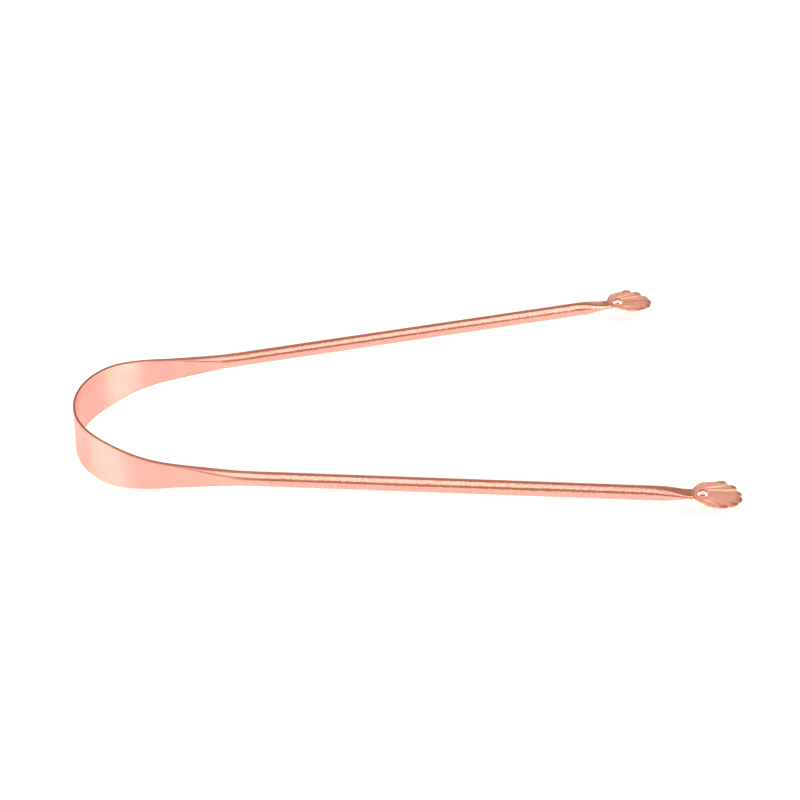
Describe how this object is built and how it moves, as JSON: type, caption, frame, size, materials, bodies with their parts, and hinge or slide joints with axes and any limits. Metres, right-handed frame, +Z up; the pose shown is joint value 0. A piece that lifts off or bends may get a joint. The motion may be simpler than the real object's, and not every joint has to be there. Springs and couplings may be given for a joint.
{
  "type": "tongue scraper",
  "caption": "U-shaped copper tongue scraper: a springy bow of flat strip on edge, slim round rod handles that squeeze together, and scallop-shell thumb rests.",
  "frame": {"origin": "under the middle of the tool's length, on its plane of symmetry, at the level of the strip's lower edge", "axes": "+X from the bow to the thumb rests, +Y to the left handle, +Z up, across the strip"},
  "size_m": [0.1498, 0.1096, 0.0112],
  "materials": {
    "copper_strip": "bare copper, finely brushed along the strip",
    "copper_rod": "bare copper, drawn and polished",
    "copper_shell": "bare copper, stamped and polished"
  },
  "bodies": {
    "bow": {"scraper_band": "copper_strip"},
    "left_arm": {"left_handle": "copper_rod", "left_shell": "copper_shell", "left_rivet": "copper_shell"},
    "right_arm": {"right_handle": "copper_rod", "right_shell": "copper_shell", "right_rivet": "copper_shell"}
  },
  "joints": [
    {"name": "left_arm_flex", "type": "hinge", "parent": "bow", "child": "left_arm", "pos_m": [-0.05343, 0.02534, 0.0056], "axis": [0, 0, -1], "range_deg": [-6, 10], "stiffness_Nm_per_rad": 0.45},
    {"name": "right_arm_flex", "type": "hinge", "parent": "bow", "child": "right_arm", "pos_m": [-0.05343, -0.02534, 0.0056], "axis": [0, 0, 1], "range_deg": [-6, 10], "stiffness_Nm_per_rad": 0.45}
  ]
}
